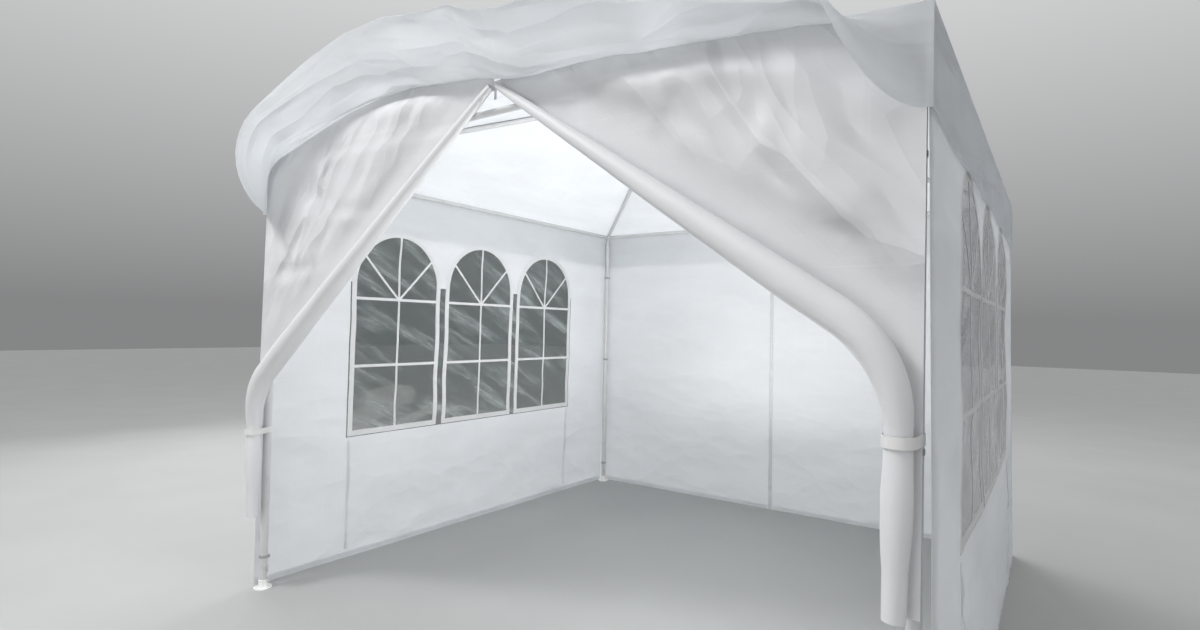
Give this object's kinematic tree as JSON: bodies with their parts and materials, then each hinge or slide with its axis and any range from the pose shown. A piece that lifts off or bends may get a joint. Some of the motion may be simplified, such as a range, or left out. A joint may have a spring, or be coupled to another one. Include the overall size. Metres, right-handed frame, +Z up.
{
  "type": "party tent",
  "caption": "Square party tent with a white cloth cover on a steel tube frame, arched windows in the side walls, a closed rear wall and a door whose flaps are rolled up.",
  "frame": {"origin": "on the floor, under the middle of the whole part's box", "axes": "+Z up; +Y from the door to the rear wall; +X to the right as seen from outside the door"},
  "size_m": [3.025, 3.2472, 2.6378],
  "materials": {
    "tube_steel": "light grey powder coat, satin",
    "spring_wire": "zinc plated wire",
    "foot_plastic": "moulded white, satin",
    "roof_cloth": "woven polyethylene sheeting, white, half gloss",
    "wall_cloth": "woven polyethylene sheeting, white, half gloss",
    "clear_film": "clear flexible film",
    "webbing": "white tape",
    "zip_tape": "white zip tape"
  },
  "bodies": {
    "frame_and_cover": {"leg_upper_front_left": "tube_steel", "clip_front_left": "spring_wire", "corner_joint_front_left": "tube_steel", "hip_rafter_front_left": "tube_steel", "leg_upper_front_right": "tube_steel", "clip_front_right": "spring_wire", "corner_joint_front_right": "tube_steel", "hip_rafter_front_right": "tube_steel", "leg_upper_back_left": "tube_steel", "clip_back_left": "spring_wire", "corner_joint_back_left": "tube_steel", "hip_rafter_back_left": "tube_steel", "leg_upper_back_right": "tube_steel", "clip_back_right": "spring_wire", "corner_joint_back_right": "tube_steel", "hip_rafter_back_right": "tube_steel", "eave_rail_front": "tube_steel", "eave_rail_back": "tube_steel", "eave_rail_left": "tube_steel", "eave_rail_right": "tube_steel", "peak_hub": "tube_steel", "roof_front": "roof_cloth", "roof_back": "roof_cloth", "roof_left": "roof_cloth", "roof_right": "roof_cloth", "valance_front": "roof_cloth", "valance_back": "roof_cloth", "valance_left": "roof_cloth", "valance_right": "roof_cloth", "wall_left": "wall_cloth", "wall_right": "wall_cloth", "window_film_left": "clear_film", "window_film_right": "clear_film", "wall_back_left": "wall_cloth", "wall_back_right": "wall_cloth", "wall_back_zip": "zip_tape", "door_flap_left": "wall_cloth", "door_flap_right": "wall_cloth", "door_roll_left": "wall_cloth", "door_roll_right": "wall_cloth", "door_tie_left": "webbing", "door_tie_right": "webbing"},
    "leg_foot_front_left": {"leg_lower_front_left": "tube_steel", "foot_front_left": "foot_plastic"},
    "leg_foot_front_right": {"leg_lower_front_right": "tube_steel", "foot_front_right": "foot_plastic"},
    "leg_foot_back_left": {"leg_lower_back_left": "tube_steel", "foot_back_left": "foot_plastic"},
    "leg_foot_back_right": {"leg_lower_back_right": "tube_steel", "foot_back_right": "foot_plastic"}
  },
  "joints": [
    {"name": "leg_height_front_left", "type": "slide", "parent": "frame_and_cover", "child": "leg_foot_front_left", "axis": [0, 0, -1], "range_m": [-0.025, 0.1]},
    {"name": "leg_height_front_right", "type": "slide", "parent": "frame_and_cover", "child": "leg_foot_front_right", "axis": [0, 0, -1], "range_m": [-0.025, 0.1]},
    {"name": "leg_height_back_left", "type": "slide", "parent": "frame_and_cover", "child": "leg_foot_back_left", "axis": [0, 0, -1], "range_m": [-0.025, 0.1]},
    {"name": "leg_height_back_right", "type": "slide", "parent": "frame_and_cover", "child": "leg_foot_back_right", "axis": [0, 0, -1], "range_m": [-0.025, 0.1]}
  ]
}
